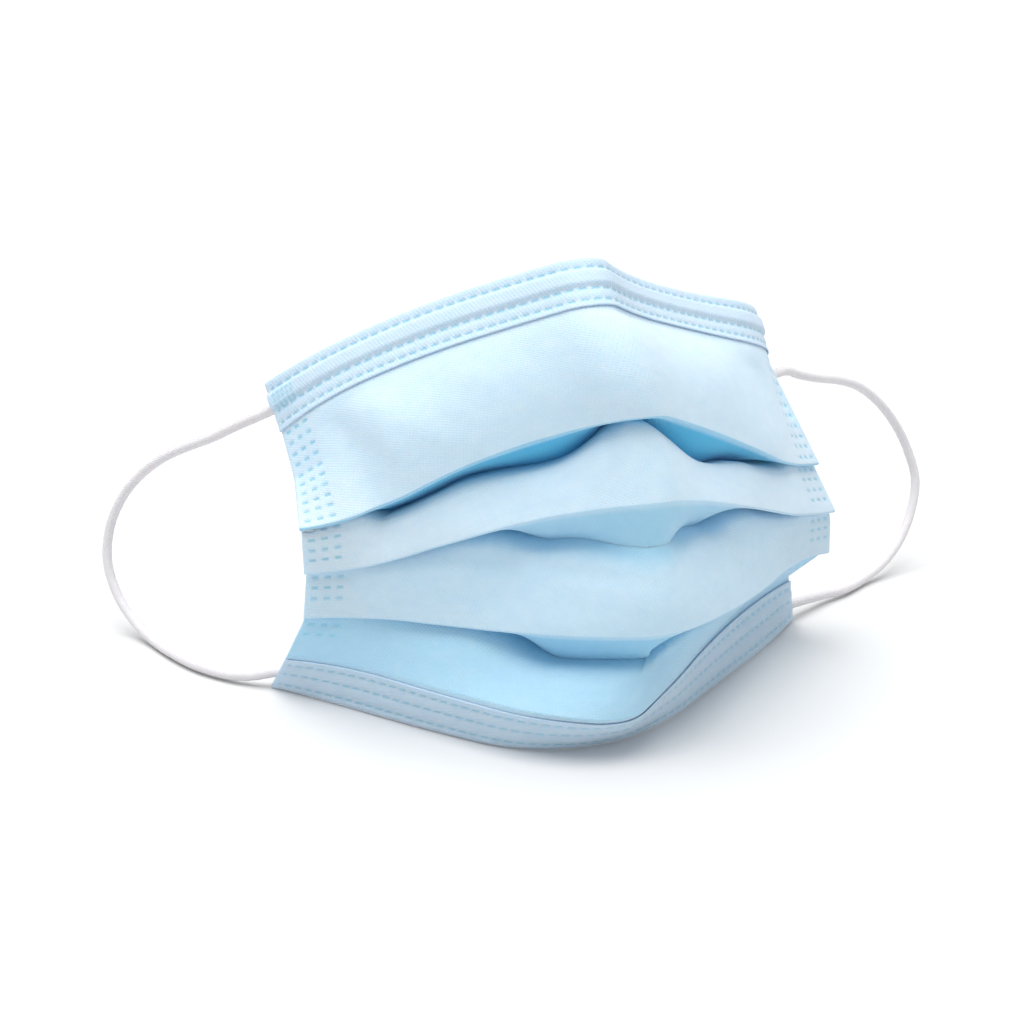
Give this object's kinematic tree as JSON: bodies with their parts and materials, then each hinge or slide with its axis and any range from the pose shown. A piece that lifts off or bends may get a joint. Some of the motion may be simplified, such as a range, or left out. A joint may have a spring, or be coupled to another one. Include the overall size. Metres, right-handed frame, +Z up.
{
  "type": "surgical face mask",
  "caption": "Pleated disposable face mask, opened into its pouch and standing on its lower edge, with two elastic ear loops.",
  "frame": {"origin": "on the resting surface, under the lower edge at the chin", "axes": "+Z up, the front of the mask faces -Y, +X to the right of the picture, along the mask's width"},
  "size_m": [0.2193, 0.1189, 0.1118],
  "materials": {
    "cloth": "matte spunbond non-woven with a fine diagonal point bond",
    "binding": "matte spunbond non-woven, welded in rows of short dashes",
    "elastic": "soft knitted round elastic"
  },
  "bodies": {
    "root": {"mask_body": "cloth", "top_binding": "binding", "bottom_binding": "binding", "left_ear_loop": "elastic", "right_ear_loop": "elastic"}
  },
  "joints": []
}
